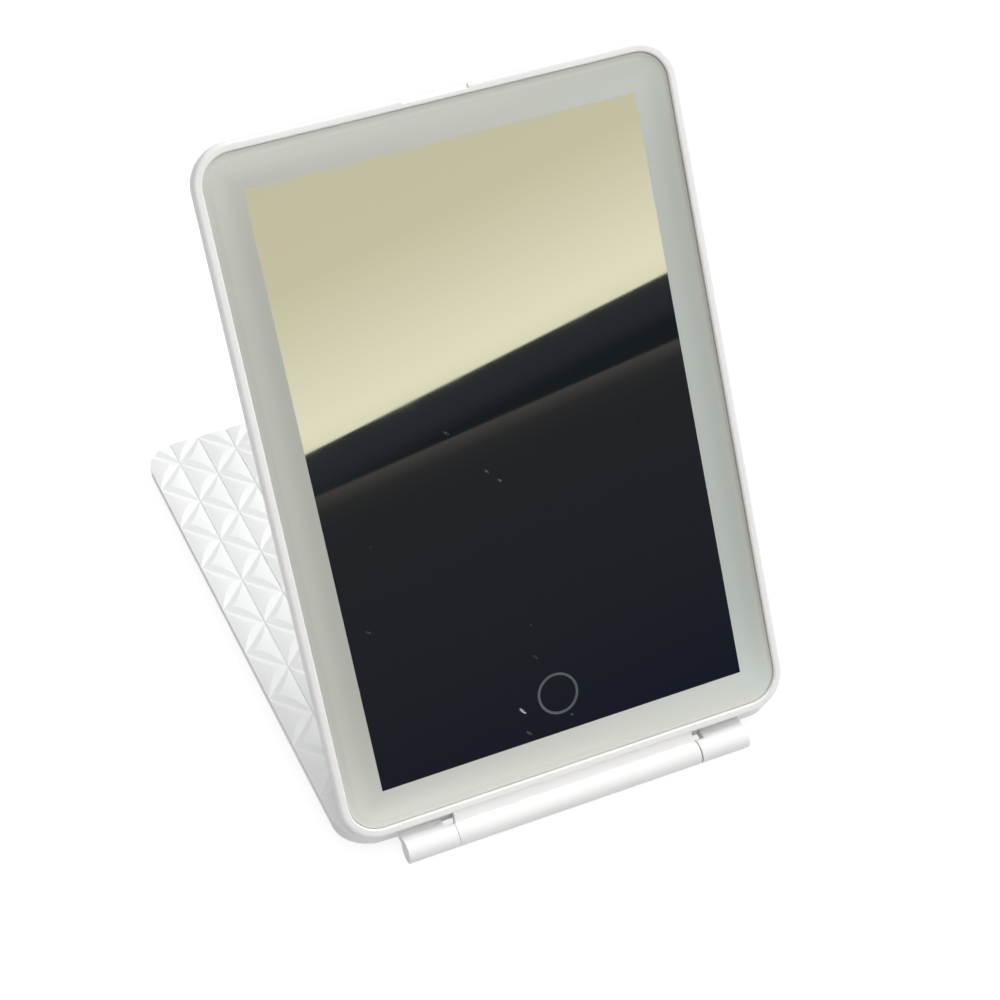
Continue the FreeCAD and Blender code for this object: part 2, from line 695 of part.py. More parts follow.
def main():
    """Stand the open mirror on the table, with the origin under the middle of its bounding box."""
    os.makedirs("parts", exist_ok=True)
    tilt = table_tilt()
    lean = math.radians(tilt)
    far_side = FAR * math.cos(lean) + (COVER_TOP - COVER_BEVEL) * math.sin(lean)
    axis_place = Vector(0, (BARREL_R - far_side) / 2, BARREL_R)
    write(cover_nodes(tilt), -tilt, axis_place)
    write(panel_nodes(), OPEN_ANGLE - tilt, axis_place)
    print("hinge axis at y", round(axis_place.y, 4), "z", round(axis_place.z, 4), "tilt", round(tilt, 4))


main()
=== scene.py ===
"""Looks of the folding lighted makeup mirror: finishes for the CAD nodes, the silvered pane, the studio."""

import json
import logging
import math
from dataclasses import dataclass
from enum import Enum
from typing import Any

import bmesh
import bpy
from mathutils import Matrix, Vector


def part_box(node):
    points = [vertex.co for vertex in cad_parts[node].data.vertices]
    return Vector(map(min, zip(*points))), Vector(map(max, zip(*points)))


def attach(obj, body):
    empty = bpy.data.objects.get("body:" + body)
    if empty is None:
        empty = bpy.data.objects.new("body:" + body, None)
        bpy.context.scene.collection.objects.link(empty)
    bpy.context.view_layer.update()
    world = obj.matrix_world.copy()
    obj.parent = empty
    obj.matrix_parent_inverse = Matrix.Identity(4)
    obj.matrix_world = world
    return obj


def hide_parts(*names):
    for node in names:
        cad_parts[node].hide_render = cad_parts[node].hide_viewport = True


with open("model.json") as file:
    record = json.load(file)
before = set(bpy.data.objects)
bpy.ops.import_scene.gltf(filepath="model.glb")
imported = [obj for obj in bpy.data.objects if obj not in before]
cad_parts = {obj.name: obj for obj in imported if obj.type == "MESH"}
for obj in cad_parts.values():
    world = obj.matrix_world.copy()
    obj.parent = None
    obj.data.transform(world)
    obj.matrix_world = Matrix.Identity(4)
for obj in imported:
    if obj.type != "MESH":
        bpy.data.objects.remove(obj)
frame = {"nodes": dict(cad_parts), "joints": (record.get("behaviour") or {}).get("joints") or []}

LOG = logging.getLogger("makeup_mirror")
MM = 0.001
MERGE = 0.002  # points nearer than this, in millimetres, are one
CREASE = math.radians(30.0)  # an edge with a greater angle stays sharp
FACING = 0.3  # a face looks some way if its normal has at least this much of that direction
LEVEL = 0.9  # a face is level if its normal has at least this much of Z
ORIGIN = Vector((0, 0, 0)).freeze()
FLOAT, VECTOR, COLOUR = "NodeSocketFloat", "NodeSocketVector", "NodeSocketColor"

Colour = tuple[float, float, float, float]
Triple = tuple[float, float, float]
Range = tuple[float, float]
Spot = tuple[float, float]
Inputs = dict[str | int, Any]
Tree = bpy.types.NodeTree
Socket = bpy.types.NodeSocket
Material = bpy.types.Material
Shape = bmesh.types.BMesh
Face = bmesh.types.BMFace


def srgb(*levels: int) -> Colour:
    """Linear colour for 8-bit sRGB values.

    Args:
        levels: red, green and blue, 0 to 255.

    Returns:
        Linear red, green, blue and an alpha of 1.
    """
    shares = [level / 255.0 for level in levels]
    red, green, blue = (s / 12.92 if s <= 0.04045 else ((s + 0.055) / 1.055) ** 2.4 for s in shares)
    return (red, green, blue, 1.0)


def grey(level: float) -> Colour:
    """A linear grey."""
    return (level, level, level, 1.0)


class Slot(Enum):
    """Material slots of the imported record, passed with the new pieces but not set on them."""

    WHITE_PLASTIC = "white_plastic"
    PANE = "pane"
    SILVER = "silver"
    TOUCH_FILM = "touch_film"


class Body(Enum):
    """The two bodies that the hinge joins."""

    PANEL = "panel"
    COVER = "cover"


# Node graphs


@dataclass
class Graph:
    """Adds and wires the nodes of one node tree."""

    tree: Tree

    def add(self, kind: str, inputs: Inputs | None = None, **settings: Any) -> bpy.types.Node:
        """Adds a node, sets its options, and sets or links its inputs.

        Args:
            kind: the node's type name.
            inputs: socket name or number to a value, or to the socket that feeds it.
            settings: the node's own options.

        Returns:
            The new node.
        """
        node = self.tree.nodes.new(kind)
        for name, value in settings.items():
            setattr(node, name, value)
        for key, value in (inputs or {}).items():
            if isinstance(value, Socket):
                self.tree.links.new(value, node.inputs[key])
            else:
                node.inputs[key].default_value = value
        return node

    def maths(self, operation: str, first: Any, second: Any = 0.0, clamp: bool = False) -> Socket:
        """Result of a Math node on two values or sockets."""
        pair = {0: first, 1: second}
        return self.add("ShaderNodeMath", pair, operation=operation, use_clamp=clamp).outputs[0]

    def remap(self, value: Socket, reads: Range, gives: Range = (0.0, 1.0)) -> Socket:
        """A smooth step of a value from the range that it reads to the one that it gives."""
        ends = dict(zip(("Value", "From Min", "From Max", "To Min", "To Max"), (value, *reads, *gives)))
        return self.add("ShaderNodeMapRange", ends, interpolation_type="SMOOTHSTEP").outputs[0]

    def blend(self, share: Any, first: Any, second: Any) -> Socket:
        """A mix of two colours; the share is that of the second."""
        return self.add("ShaderNodeMix", {0: share, 6: first, 7: second}, data_type="RGBA").outputs[2]

    def noise(self, place: Socket, rate: Any, detail: float, **more: float) -> Socket:
        """Value of a noise texture of so many swings for each millimetre."""
        swings = {"Vector": place, "Scale": rate, "Detail": detail, **more}
        return self.add("ShaderNodeTexNoise", swings).outputs[0]

    def bump(self, height: Socket, depth: float, strength: float = 1.0) -> Socket:
        """Normal of a relief whose height of 1 stands for a depth in millimetres."""
        relief = {"Strength": strength, "Distance": depth * MM, "Height": height}
        return self.add("ShaderNodeBump", relief).outputs[0]

    def split(self, vector: Socket) -> Any:
        """The X, Y and Z sockets of a vector."""
        return self.add("ShaderNodeSeparateXYZ", {0: vector}).outputs

    def place(self, shift: Vector, turn: float) -> Socket:
        """Object coordinates in millimetres, centred on a point and turned about the hinge's direction.

        Args:
            shift: the point that becomes the origin, in metres.
            turn: turn about X in radians, which lays a leaf's own axes along Y and Z.

        Returns:
            The coordinate's socket.
        """
        coords = self.add("ShaderNodeTexCoord").outputs["Object"]
        back = Matrix.Rotation(-turn, 3, "X") @ -shift
        moves = {"Location": back / MM, "Rotation": (-turn, 0, 0), "Scale": (1 / MM,) * 3}
        return self.add("ShaderNodeMapping", {"Vector": coords, **moves}).outputs[0]


def new_group(name: str, output: str, kind: str, **inputs: str) -> tuple[Graph, Any]:
    """Starts a shader node group with a place vector, more named inputs and one output.

    Args:
        name: the group's name.
        output: its output's name.
        kind: its output's socket kind.
        inputs: input name to socket kind.

    Returns:
        The group's graph and the sockets of its input node.
    """
    tree = bpy.data.node_groups.new(name, "ShaderNodeTree")
    for title, sort in {"Vector": VECTOR, **inputs}.items():
        tree.interface.new_socket(name=title, in_out="INPUT", socket_type=sort)
    tree.interface.new_socket(name=output, in_out="OUTPUT", socket_type=kind)
    return Graph(tree), tree.nodes.new("NodeGroupInput").outputs


class Effects:
    """The shared surface effects, each built once as a node group."""

    def __init__(self) -> None:
        """Builds the groups."""
        self.mould_grain = self._mould_grain()
        self.tone_drift = self._tone_drift()
        self.handling = self._handling()
        self.dust = self._dust()
        self.fleck = self._fleck()

    @staticmethod
    def _mould_grain() -> Tree:
        """Fine spark-eroded grain of a mould, with a soft waviness under it.

        Returns:
            The group.
        """
        g, given = new_group("mould grain", "Height", FLOAT, Pitch=FLOAT, Waviness=FLOAT)
        rate = g.maths("DIVIDE", 1.0, given["Pitch"])
        grain = g.noise(given["Vector"], rate, detail=2.0, Roughness=0.6)
        wave = g.noise(given["Vector"], rate=0.045, detail=1.0)
        swell = g.maths("MULTIPLY", wave, given["Waviness"])
        g.add("NodeGroupOutput", {"Height": g.maths("ADD", grain, swell)})
        return g.tree

    @staticmethod
    def _tone_drift() -> Tree:
        """Slow drift of a colour between two tones, with a finer mottle.

        Returns:
            The group.
        """
        g, given = new_group("tone drift", "Colour", COLOUR, Tone=COLOUR, Second=COLOUR, Span=FLOAT)
        rate = g.maths("DIVIDE", 1.0, given["Span"])
        drift = g.noise(given["Vector"], rate, detail=4.0, Roughness=0.55)
        share = g.remap(drift, reads=(0.3, 0.7))
        g.add("NodeGroupOutput", {"Colour": g.blend(share, given["Tone"], given["Second"])})
        return g.tree

    @staticmethod
    def _handling() -> Tree:
        """Roughness that fingers leave uneven: broad rubbed patches and small touches.

        Returns:
            The group.
        """
        g, given = new_group("handling", "Roughness", FLOAT, Rough=FLOAT, Spread=FLOAT)
        broad_share = 0.7
        broad = g.noise(given["Vector"], rate=0.03, detail=3.0, Distortion=0.6)
        small = g.noise(given["Vector"], rate=0.16, detail=2.0)
        broad_part = g.maths("MULTIPLY", broad, broad_share)
        small_part = g.maths("MULTIPLY", small, 1.0 - broad_share)
        from_mean = g.maths("SUBTRACT", g.maths("ADD", broad_part, small_part), 0.5)
        swing = g.maths("MULTIPLY", from_mean, given["Spread"])
        g.add("NodeGroupOutput", {"Roughness": g.maths("ADD", given["Rough"], swing, clamp=True)})
        return g.tree

    @staticmethod
    def _dust() -> Tree:
        """Sparse dust motes of uneven size.

        Returns:
            The group.
        """
        g, given = new_group("dust", "Mask", FLOAT, Spacing=FLOAT, Mote=FLOAT)
        rate = g.maths("DIVIDE", 1.0, given["Spacing"])
        cells = g.add("ShaderNodeTexVoronoi", {"Vector": given["Vector"], "Scale": rate}).outputs
        chance = g.add("ShaderNodeSeparateColor", {"Color": cells["Color"]}).outputs[0]
        reach = g.maths("MULTIPLY", g.maths("DIVIDE", given["Mote"], given["Spacing"]), chance)
        g.add("NodeGroupOutput", {"Mask": g.maths("LESS_THAN", cells["Distance"], reach)})
        return g.tree

    @staticmethod
    def _fleck() -> Tree:
        """One short dry smear: a soft stroke of a given place, turn, length and width, broken along its run.

        Returns:
            The group.
        """
        g, given = new_group("fleck", "Mask", FLOAT, Place=VECTOR, Turn=FLOAT, Length=FLOAT, Width=FLOAT)
        ends = {0: given["Vector"], 1: given["Place"]}
        moved = g.add("ShaderNodeVectorMath", ends, operation="SUBTRACT").outputs[0]
        stroke = {"Vector": moved, "Angle": given["Turn"]}
        turned = g.split(g.add("ShaderNodeVectorRotate", stroke, rotation_type="Z_AXIS").outputs[0])
        along = g.maths("DIVIDE", g.maths("ABSOLUTE", turned[0]), given["Length"])
        across = g.maths("DIVIDE", g.maths("ABSOLUTE", turned[1]), given["Width"])
        reach = g.maths("ADD", g.maths("POWER", along, 2.0), g.maths("POWER", across, 2.0))
        inside = g.remap(reach, reads=(0.5, 1.1), gives=(1.0, 0.0))
        streaks = g.noise(given["Vector"], rate=1.6, detail=3.0)
        broken = g.remap(streaks, reads=(0.38, 0.55), gives=(0.15, 1.0))
        g.add("NodeGroupOutput", {"Mask": g.maths("MULTIPLY", inside, broken)})
        return g.tree


# Finishes, with their sizes in millimetres


def bare_material(name: str) -> tuple[Material, Graph]:
    """A material without nodes.

    Args:
        name: the material's name.

    Returns:
        The material and its graph.
    """
    material = bpy.data.materials.new(name)
    material.use_nodes = True
    material.node_tree.nodes.clear()
    return material, Graph(material.node_tree)


@dataclass
class Surface(Graph):
    """Graph of a finish, with the shared effects, the place that textures are read at, and the relief."""

    effects: Effects
    at: Socket | None = None
    relief: Socket | None = None

    def effect(self, tree: Tree, **inputs: Any) -> Socket:
        """The output of a shared effect at this place."""
        return self.add("ShaderNodeGroup", {"Vector": self.at, **inputs}, node_tree=tree).outputs[0]


@dataclass(frozen=True)
class Finish:
    """A finish of two tones, unevenly handled; each kind adds its own relief or colouring."""

    name: str
    tone: Colour
    second: Colour
    rough: float = 0.38
    spread: float = 0.2
    span: float = 38.0
    depth: float = 0.006
    strength: float = 1.0
    metal: float = 0.0
    scatter: float = 0.0
    scatter_reach: float = 0.8
    scatter_tint: Triple = (1.0, 0.95, 0.9)
    centre: Vector = ORIGIN
    turn: float = 0.0

    def height(self, s: Surface) -> Socket | None:
        """Height of the relief; a plain finish has none."""
        return None

    def colour(self, s: Surface) -> Socket:
        """The two tones, drifting into each other."""
        return s.effect(s.effects.tone_drift, Tone=self.tone, Second=self.second, Span=self.span)

    def handled(self, s: Surface) -> Socket:
        """Roughness that handling leaves uneven."""
        return s.effect(s.effects.handling, Rough=self.rough, Spread=self.spread)

    def inputs(self, s: Surface) -> Inputs:
        """What feeds the shader.

        Args:
            s: the material's graph.

        Returns:
            The shader's inputs.
        """
        s.relief = self.height(s)
        feeds = {"Base Color": self.colour(s), "Roughness": self.handled(s), "Metallic": self.metal}
        if s.relief is not None:
            feeds["Normal"] = s.bump(s.relief, self.depth, self.strength)
        if self.scatter > 0:
            feeds["Subsurface Weight"] = self.scatter
            feeds["Subsurface Radius"] = self.scatter_tint
            feeds["Subsurface Scale"] = self.scatter_reach * MM
        return feeds

    def build(self, effects: Effects) -> Material:
        """Makes the material.

        Args:
            effects: the shared groups.

        Returns:
            The material.
        """
        material, g = bare_material(self.name)
        surface = Surface(g.tree, effects, g.place(self.centre, self.turn))
        shader = g.add("ShaderNodeBsdfPrincipled", self.inputs(surface))
        g.add("ShaderNodeOutputMaterial", {"Surface": shader.outputs[0]})
        return material


@dataclass(frozen=True)
class MouldedPlastic(Finish):
    """Injection-moulded plastic with mould grain; a milky one lets some light wander inside it."""

    spread: float = 0.14
    pitch: float = 0.34
    waviness: float = 1.5

    def height(self, s: Surface) -> Socket:
        """The mould's grain."""
        return s.effect(s.effects.mould_grain, Pitch=self.pitch, Waviness=self.waviness)


@dataclass(frozen=True)
class MetalFinish(Finish):
    """Bare or plated metal with fine draw lines along the hinge's direction."""

    rough: float = 0.28
    span: float = 5.0
    depth: float = 0.004
    metal: float = 1.0
    lines: float = 6.0
    lines_along: float = 0.08

    def height(self, s: Surface) -> Socket:
        """The draw lines."""
        stretch = {"Vector": s.at, "Scale": (self.lines_along, self.lines, self.lines)}
        return s.noise(s.add("ShaderNodeMapping", stretch).outputs[0], rate=1.0, detail=3.0)


@dataclass(frozen=True, kw_only=True)
class FrostedGlass(MouldedPlastic):
    """Ground border of the pane over its milky light guide, with a soft sandy grain.

    It runs from one tone at the rim to a slightly darker second at the silver, painted light at the rim. It
    is paler towards the two ends, most of all the lower end, and its right side has a darker, cooler tone of
    its own: painted light and shade.
    """

    bevel: Colour
    # a darker, cooler tone for the right side: painted shade
    painted_right_shade: Colour
    half_width: float
    half_length: float
    border: float
    bevel_width: float
    middle: float = 0.94
    # painted light: paler towards both ends of the pane, more at the lower end
    painted_end_light: float = 0.39
    painted_low_end_light: float = 0.15
    end_power: float = 6.0
    # painted light and shade across: lighter at the left rim and darker at the right rim, the other way
    # round at the silver
    painted_side_shading: Range = (-0.05, 0.065)
    # how far in and how strongly the painted right-side shade reaches
    right_reach: Range = (0.2, 1.0)
    right_share: float = 0.8
    cloud_rate: float = 0.05
    cloud_reads: Range = (0.35, 0.7)
    cloud_share: float = 0.35
    bevel_blend: Range = (-0.25, 0.1)
    rough: float = 0.34
    spread: float = 0.16
    pitch: float = 0.16
    waviness: float = 0.6
    depth: float = 0.004

    def colour(self, s: Surface) -> Socket:
        """The border's tone by its place on the pane, with painted light and shade.

        Args:
            s: the material's graph.

        Returns:
            The colour's socket.
        """
        across, along = s.split(s.at)[:2]
        past_side = s.maths("SUBTRACT", s.maths("ABSOLUTE", across), self.half_width)
        past_end = s.maths("SUBTRACT", s.maths("ABSOLUTE", along), self.half_length)
        to_edge = s.maths("MULTIPLY", s.maths("MAXIMUM", past_side, past_end), -1.0)
        inwards = s.remap(to_edge, (self.bevel_width, self.border))
        side = s.maths("DIVIDE", across, self.half_width)
        end = s.maths("DIVIDE", along, self.half_length)
        noise = s.noise(s.at, self.cloud_rate, detail=3.0)
        clouds = s.remap(noise, self.cloud_reads, (0.0, self.cloud_share))
        # a tone at the rim lighter than the one at the silver: painted light
        ground = s.blend(clouds, s.blend(inwards, self.tone, self.second), self.tone)
        # the darker right side: painted shade
        right_shade_share = s.remap(side, self.right_reach, (0.0, self.right_share))
        ground = s.blend(right_shade_share, ground, self.painted_right_shade)
        bevel_ends = (self.bevel_width + self.bevel_blend[0], self.bevel_width + self.bevel_blend[1])
        tone = s.blend(s.remap(to_edge, bevel_ends, (1.0, 0.0)), ground, self.bevel)
        # paler towards both ends, more at the lower end: painted light
        lift = s.maths("SUBTRACT", self.painted_end_light, s.maths("MULTIPLY", end, self.painted_low_end_light))
        end_light_level = s.maths("MULTIPLY", lift, s.maths("POWER", s.maths("ABSOLUTE", end), self.end_power))
        # lighter at the left rim and darker at the right rim, reversed at the silver: painted light and
        # shade
        side_shading_level = s.maths("MULTIPLY", side, s.remap(inwards, (0.0, 1.0), self.painted_side_shading))
        level = s.maths("ADD", s.maths("ADD", end_light_level, side_shading_level), self.middle)
        return s.add("ShaderNodeHueSaturation", {"Color": tone, "Value": level}).outputs[0]


@dataclass(frozen=True)
class Fleck:
    """A dry smear on the glass: place on the leaf, turn in degrees, half length, half width and cover."""

    x: float
    y: float
    turn: float
    length: float
    width: float
    cover: float


@dataclass(frozen=True)
class SilverMirror(Finish):
    """Silvered glass, nearly clean: faint wiping haze, and dust and a few dry smears in the second tone."""

    rough: float = 0.018
    spread: float = 0.03
    flecks: tuple[Fleck, ...] = ()
    dust_spacing: float = 9.0
    mote: float = 0.16
    dirt_rough: float = 0.7

    def inputs(self, s: Surface) -> Inputs:
        """What feeds the shader.

        Args:
            s: the material's graph.

        Returns:
            The shader's inputs.
        """
        mask = s.effect(s.effects.dust, Spacing=self.dust_spacing, Mote=self.mote)
        for fleck in self.flecks:
            stroke = s.effect(
                s.effects.fleck,
                Place=(fleck.x, fleck.y, 0.0),
                Turn=math.radians(-fleck.turn),
                Length=fleck.length,
                Width=fleck.width,
            )
            mask = s.maths("MAXIMUM", mask, s.maths("MULTIPLY", stroke, fleck.cover))
        return {
            "Base Color": s.blend(mask, self.tone, self.second),
            "Metallic": s.maths("SUBTRACT", 1.0, mask),
            "Roughness": s.maths("MAXIMUM", self.handled(s), s.maths("MULTIPLY", mask, self.dirt_rough)),
        }


@dataclass(frozen=True)
class CellularFoam(Finish):
    """Soft cellular stuff, such as foam or a rubbery pad, with pores of one size."""

    rough: float = 0.8
    depth: float = 0.08
    strength: float = 0.7
    pore: float = 0.5
    pore_wall: Range = (0.1, 0.6)

    def height(self, s: Surface) -> Socket:
        """The pores."""
        return s.add("ShaderNodeTexVoronoi", {"Vector": s.at, "Scale": 1.0 / self.pore}).outputs["Distance"]

    def colour(self, s: Surface) -> Socket:
        """The second tone in the middle of each pore."""
        return s.blend(s.remap(s.relief, self.pore_wall), self.second, self.tone)


@dataclass(frozen=True)
class TrackedBoard(Finish):
    """Circuit board: solder mask with paler copper tracks under it, in staggered rows."""

    rough: float = 0.36
    spread: float = 0.12
    depth: float = 0.02
    pitch: float = 1.6
    track_share: float = 0.09
    run_rows: float = 5.0
    stagger: float = 0.37

    def height(self, s: Surface) -> Socket:
        """The tracks.

        Args:
            s: the material's graph.

        Returns:
            The height's socket.
        """
        sizes = {"Mortar Size": self.track_share, "Brick Width": self.run_rows, "Row Height": 1.0}
        rows = {name: share * self.pitch for name, share in sizes.items()}
        rows.update({"Vector": s.at, "Scale": 1.0})
        return s.add("ShaderNodeTexBrick", rows, offset=self.stagger).outputs["Fac"]

    def colour(self, s: Surface) -> Socket:
        """The second tone on the tracks."""
        return s.blend(s.relief, self.tone, self.second)


@dataclass(frozen=True)
class WrinkledFoil(Finish):
    """Pouch foil of the cell, dull aluminium with fine creases."""

    rough: float = 0.36
    span: float = 9.0
    depth: float = 0.05
    strength: float = 0.6
    metal: float = 0.85
    crease_rate: float = 0.22
    crease_width: float = 0.12

    def height(self, s: Surface) -> Socket:
        """The creases."""
        cells = s.add(
            "ShaderNodeTexVoronoi", {"Vector": s.at, "Scale": self.crease_rate}, feature="DISTANCE_TO_EDGE"
        )
        return s.remap(cells.outputs["Distance"], (0.0, self.crease_width))


@dataclass(frozen=True)
class StripedLead(Finish):
    """Flat twin lead: one red and one black core side by side."""

    rough: float = 0.42
    middle: float = 0.0
    half_seam: float = 0.05

    def colour(self, s: Surface) -> Socket:
        """One tone on each side of the middle."""
        seam = (self.middle - self.half_seam, self.middle + self.half_seam)
        return s.blend(s.remap(s.split(s.at)[0], seam), self.tone, self.second)


class Wardrobe:
    """Builds each finish once and dresses CAD nodes with it."""

    def __init__(self, effects: Effects) -> None:
        """Starts empty."""
        self.effects = effects
        self.made: dict[str, Material] = {}

    def material(self, finish: Finish) -> Material:
        """The finish's material, made on first use.

        Args:
            finish: the finish.

        Returns:
            The material.
        """
        if finish.name not in self.made:
            self.made[finish.name] = finish.build(self.effects)
        return self.made[finish.name]

    def dress(self, finish: Finish, *nodes: str) -> None:
        """Gives CAD nodes a finish.

        Args:
            finish: the finish.
            nodes: CAD node names.
        """
        for node in nodes:
            slots = frame["nodes"][node].data.materials
            slots.clear()
            slots.append(self.material(finish))
            LOG.info("node %s: %s", node, finish.name)


WHITE_PLASTIC = MouldedPlastic(
    "satin white plastic", srgb(241, 240, 239), srgb(237, 236, 235),
    rough=0.34, spread=0.12, pitch=0.4, depth=0.0035,
)
COVER_PLASTIC = MouldedPlastic(
    "embossed white plastic", srgb(242, 244, 243), srgb(238, 240, 239),
    rough=0.42, spread=0.12, pitch=0.4, depth=0.005,
)
LINING = MouldedPlastic(
    "lining film", srgb(228, 228, 228), srgb(220, 220, 221), rough=0.5, pitch=0.7, depth=0.02
)
TRAY_PLASTIC = MouldedPlastic("tray plastic", srgb(236, 236, 232), srgb(228, 228, 224), rough=0.5)
MILKY_GUIDE = MouldedPlastic(
    "milky light guide", srgb(238, 240, 236), srgb(230, 233, 229), rough=0.45, scatter=0.4
)
TAPE = MouldedPlastic(
    "bonding tape", srgb(214, 214, 206), srgb(200, 200, 194), rough=0.6, pitch=0.9, depth=0.03
)
CHIP_RESIN = MouldedPlastic(
    "chip resin", srgb(34, 34, 36), srgb(44, 44, 46), rough=0.5, pitch=0.2, depth=0.01
)
PLUG_PLASTIC = MouldedPlastic("plug plastic", srgb(232, 228, 214), srgb(224, 219, 203), rough=0.42)
CLEAR_PIPE = MouldedPlastic(
    "clear pipe", srgb(222, 228, 230), srgb(208, 216, 220), rough=0.12, spread=0.06, scatter=0.6
)
PHOSPHOR = MouldedPlastic(
    "emitter phosphor", srgb(236, 214, 120), srgb(226, 198, 92), rough=0.3, pitch=0.15, depth=0.01
)
RING_FILM = MouldedPlastic("touch ring film", srgb(90, 94, 98), srgb(78, 84, 88), rough=0.3, pitch=0.2)
GREEN_BOARD = TrackedBoard("green board", srgb(18, 86, 52), srgb(38, 122, 74))
WHITE_BOARD = TrackedBoard("white strip board", srgb(230, 231, 228), srgb(202, 200, 188), pitch=2.2)
RIBBON_FILM = TrackedBoard("ribbon film", srgb(188, 122, 48), srgb(214, 152, 72), pitch=0.8)
PIN_STEEL = MetalFinish("pin steel", srgb(196, 198, 202), srgb(178, 181, 186), rough=0.3)
NICKEL = MetalFinish("magnet nickel", srgb(206, 206, 204), srgb(190, 190, 190), rough=0.22, lines=2.0)
SLEEVE_BRONZE = MetalFinish("sleeve bronze", srgb(176, 132, 78), srgb(156, 112, 64), rough=0.38)
DARK_FOAM = CellularFoam("conductive foam", srgb(58, 58, 60), srgb(30, 30, 32))
PAD_RUBBER = CellularFoam(
    "foot pad rubber", srgb(206, 207, 208), srgb(188, 189, 191), pore=0.3, depth=0.02, rough=0.6
)
POUCH = WrinkledFoil("cell pouch foil", srgb(190, 192, 196), srgb(166, 168, 173))


# Shapes and the leaves that they lie on


def rectangle(width: float, length: float) -> Shape:
    """A flat rectangle about the origin.

    Args:
        width: size along X.
        length: size along Y.

    Returns:
        The shape.
    """
    shape = bmesh.new()
    bmesh.ops.create_grid(shape, x_segments=1, y_segments=1, size=0.5)
    bmesh.ops.scale(shape, vec=(width, length, 1.0), verts=shape.verts)
    return shape


def thicken(shape: Shape, height: float) -> list[Face]:
    """Raises a flat shape to a slab.

    Args:
        shape: the shape.
        height: the slab's height.

    Returns:
        The slab's upper faces.
    """
    raised = bmesh.ops.extrude_face_region(shape, geom=shape.faces[:], use_keep_orig=True)["geom"]
    corners = [e for e in raised if isinstance(e, bmesh.types.BMVert)]
    bmesh.ops.translate(shape, vec=(0, 0, height), verts=corners)
    bmesh.ops.recalc_face_normals(shape, faces=shape.faces)
    return [e for e in raised if isinstance(e, Face)]


def cut_across(shape: Shape, faces: list[Face], axis: int, level: float) -> None:
    """Cuts those of some faces that cross a level of one axis.

    Args:
        shape: the shape.
        faces: faces of the shape.
        axis: 0 for X, 1 for Y, 2 for Z.
        level: the place along that axis.
    """
    places = {f: [v.co[axis] for v in f.verts] for f in faces}
    crossed = [f for f, along in places.items() if min(along) < level < max(along)]
    around = {e for f in crossed for e in f.edges} | {v for f in crossed for v in f.verts}
    normal = Matrix.Identity(3)[axis]
    place = normal * level
    bmesh.ops.bisect_plane(shape, geom=crossed + list(around), dist=MERGE, plane_co=place, plane_no=normal)


def soften(shape: Shape) -> None:
    """Shades a shape smooth, apart from its sharp edges.

    Args:
        shape: the shape.
    """
    for face in shape.faces:
        face.smooth = True
    for edge in shape.edges:
        edge.smooth = edge.calc_face_angle(math.pi) < CREASE


def place_mesh(name: str, shape: Shape, material: Material) -> bpy.types.Object:
    """Puts a finished shape into the scene.

    Args:
        name: the object's name.
        shape: its mesh, already in place; it is freed.
        material: its material.

    Returns:
        The object.
    """
    mesh = bpy.data.meshes.new(name)
    shape.to_mesh(mesh)
    shape.free()
    mesh.materials.append(material)
    item = bpy.data.objects.new(name, mesh)
    bpy.context.scene.collection.objects.link(item)
    return item


@dataclass(frozen=True)
class Leaf:
    """A body's own axes: X along the hinge, Y up the leaf from the hinge axis, Z out of its face."""

    body: Body
    axis: Vector
    turn: float

    @classmethod
    def of_node(cls, body: Body, axis: Vector, node: str, facing: Vector) -> "Leaf":
        """Finds a leaf's turn from the largest face of one of its nodes.

        Args:
            body: the leaf's body.
            axis: a point of the hinge axis, in metres.
            node: a flat node of that leaf.
            facing: rough direction of the face.

        Returns:
            The leaf.
        """
        faces = [p for p in frame["nodes"][node].data.polygons if p.normal.dot(facing) > FACING]
        normal = max(faces, key=lambda p: p.area).normal
        return cls(body, axis, math.atan2(-normal.y, normal.z))

    @property
    def matrix(self) -> Matrix:
        """Leaf millimetres to metres in the part's frame."""
        return Matrix.Translation(self.axis) @ Matrix.Rotation(self.turn, 4, "X") @ Matrix.Scale(MM, 4)

    def point(self, x: float, y: float, z: float) -> Vector:
        """A leaf point in metres, in the part's frame."""
        return self.axis + Matrix.Rotation(self.turn, 3, "X") @ (Vector((x, y, z)) * MM)

    def copy_of(self, node: str) -> Shape:
        """A merged copy of a CAD node's mesh.

        Args:
            node: the CAD node's name.

        Returns:
            The copy in leaf millimetres.
        """
        shape = bmesh.new()
        shape.from_mesh(frame["nodes"][node].data)
        bmesh.ops.transform(shape, matrix=self.matrix.inverted(), verts=shape.verts)
        bmesh.ops.remove_doubles(shape, verts=shape.verts, dist=MERGE)
        return shape

    def add_piece(self, name: str, shape: Shape, slot: Slot, material: Material) -> bpy.types.Object:
        """Turns a finished shape into a piece that rides the leaf's body.

        Args:
            name: the piece's name.
            shape: its mesh in leaf millimetres; it is freed.
            slot: the record's material slot; not used.
            material: its finish.

        Returns:
            The piece.
        """
        bmesh.ops.transform(shape, matrix=self.matrix, verts=shape.verts)
        piece = place_mesh(name, shape, material)
        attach(piece, self.body.value)
        LOG.info("piece %s: %d faces on %s", name, len(piece.data.polygons), self.body.value)
        return piece


# The mirror's sub-assemblies, with their sizes in leaf millimetres


